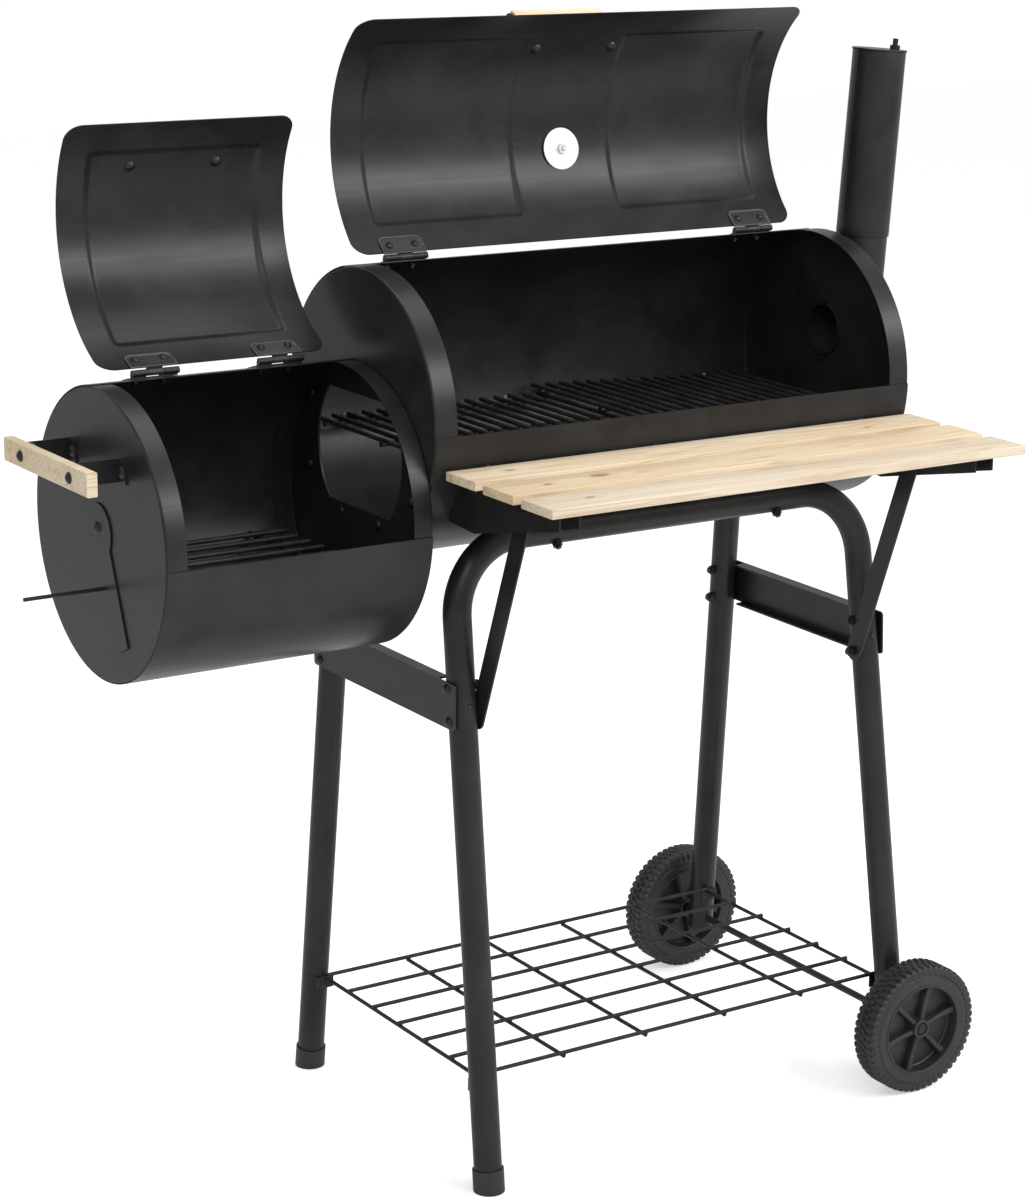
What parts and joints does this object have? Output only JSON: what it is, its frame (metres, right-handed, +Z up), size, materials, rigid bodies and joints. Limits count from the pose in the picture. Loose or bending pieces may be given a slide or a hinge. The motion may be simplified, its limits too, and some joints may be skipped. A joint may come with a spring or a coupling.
{
  "type": "offset smoker",
  "caption": "Barrel smoker with a side firebox, hinged lids, chimney, slatted front table, bent-tube legs, wire shelf and wheels.",
  "frame": {"origin": "middle of the whole smoker's bounding box, on the floor", "axes": "X along the barrels from the firebox to the chimney, Y from the slatted table at the front (-Y) to the back, Z up"},
  "size_m": [1.0788, 0.5852, 1.1954],
  "materials": {
    "black_paint": "satin high-temperature black paint",
    "black_zinc": "black finished fasteners",
    "cap_plastic": "moulded black plastic",
    "dial_glass": "clear flat glass",
    "dial_white": "white enamel",
    "gauge_steel": "brushed steel case",
    "grate_black": "dull black coated wire",
    "pine": "planed pale pine, unvarnished",
    "wheel_plastic": "moulded black plastic",
    "wire_black": "black coated wire",
    "zinc": "bright zinc plate"
  },
  "bodies": {
    "frame": {"axle": "black_zinc", "axle_spacers_and_nuts": "black_zinc", "chamber_bolts": "black_zinc", "charcoal_grate": "grate_black", "chimney_elbow": "black_paint", "chimney_stud": "black_zinc", "chimney_tube": "black_paint", "cooking_grate_left": "grate_black", "cooking_grate_right": "grate_black", "crossbar_left": "black_paint", "crossbar_right": "black_paint", "damper_pivot_bolt": "black_zinc", "firebox_end_cap_left": "black_paint", "firebox_end_cap_right": "black_paint", "firebox_hinge_barrel_leaves": "black_paint", "firebox_shell": "black_paint", "foot_caps": "cap_plastic", "frame_bolts": "black_zinc", "frame_tube_back": "black_paint", "frame_tube_front": "black_paint", "hinge_pins": "black_zinc", "leg_back_left": "black_paint", "leg_back_right": "black_paint", "leg_front_left": "black_paint", "leg_front_right": "black_paint", "main_barrel_shell": "black_paint", "main_end_cap_left": "black_paint", "main_end_cap_right": "black_paint", "main_hinge_barrel_leaves": "black_paint", "side_handle_brackets": "black_paint", "side_handle_grip": "pine", "table_bolts": "black_zinc", "table_bracket_left": "black_paint", "table_bracket_right": "black_paint", "table_slat_back": "pine", "table_slat_front": "pine", "table_slat_middle": "pine", "table_strut_left": "black_paint", "table_strut_right": "black_paint", "wire_shelf": "wire_black"},
    "main_lid": {"main_lid": "black_paint", "main_lid_grip": "pine", "main_lid_handle_brackets": "black_paint", "main_lid_bolts": "black_zinc", "main_hinge_lid_leaves": "black_paint", "thermometer_case": "gauge_steel", "thermometer_dial": "dial_white", "thermometer_glass": "dial_glass", "thermometer_stem": "zinc", "thermometer_washer": "zinc"},
    "firebox_lid": {"firebox_lid": "black_paint", "firebox_lid_grip": "pine", "firebox_lid_handle_brackets": "black_paint", "firebox_lid_bolts": "black_zinc", "firebox_hinge_lid_leaves": "black_paint"},
    "damper": {"damper_plate": "black_paint", "damper_rod": "black_paint"},
    "chimney_disc": {"chimney_damper_disc": "black_paint"},
    "front_wheel": {"wheel_front": "wheel_plastic"},
    "back_wheel": {"wheel_back": "wheel_plastic"}
  },
  "joints": [
    {"name": "main_lid_hinge", "type": "hinge", "parent": "frame", "child": "main_lid", "pos_m": [0.143, 0.08832, 0.95115], "axis": [1, 0, 0], "range_deg": [0, 126.3]},
    {"name": "firebox_lid_hinge", "type": "hinge", "parent": "frame", "child": "firebox_lid", "pos_m": [-0.30635, 0.07554, 0.85893], "axis": [1, 0, 0], "range_deg": [0, 150.5]},
    {"name": "damper_pivot", "type": "hinge", "parent": "frame", "child": "damper", "pos_m": [-0.4541, 0.04919, 0.716], "axis": [1, 0, 0], "range_deg": [-60, 60]},
    {"name": "chimney_disc_swivel", "type": "hinge", "parent": "frame", "child": "chimney_disc", "pos_m": [0.53029, 0.04919, 1.14597], "axis": [0.0698, 0, 0.9976], "range_deg": [-100, 100]},
    {"name": "front_wheel_spin", "type": "hinge", "parent": "frame", "child": "front_wheel", "pos_m": [0.43034, -0.17672, 0.0752], "axis": [0, 1, 0], "continuous": true},
    {"name": "back_wheel_spin", "type": "hinge", "parent": "frame", "child": "back_wheel", "pos_m": [0.43034, 0.27511, 0.0752], "axis": [0, 1, 0], "continuous": true}
  ]
}
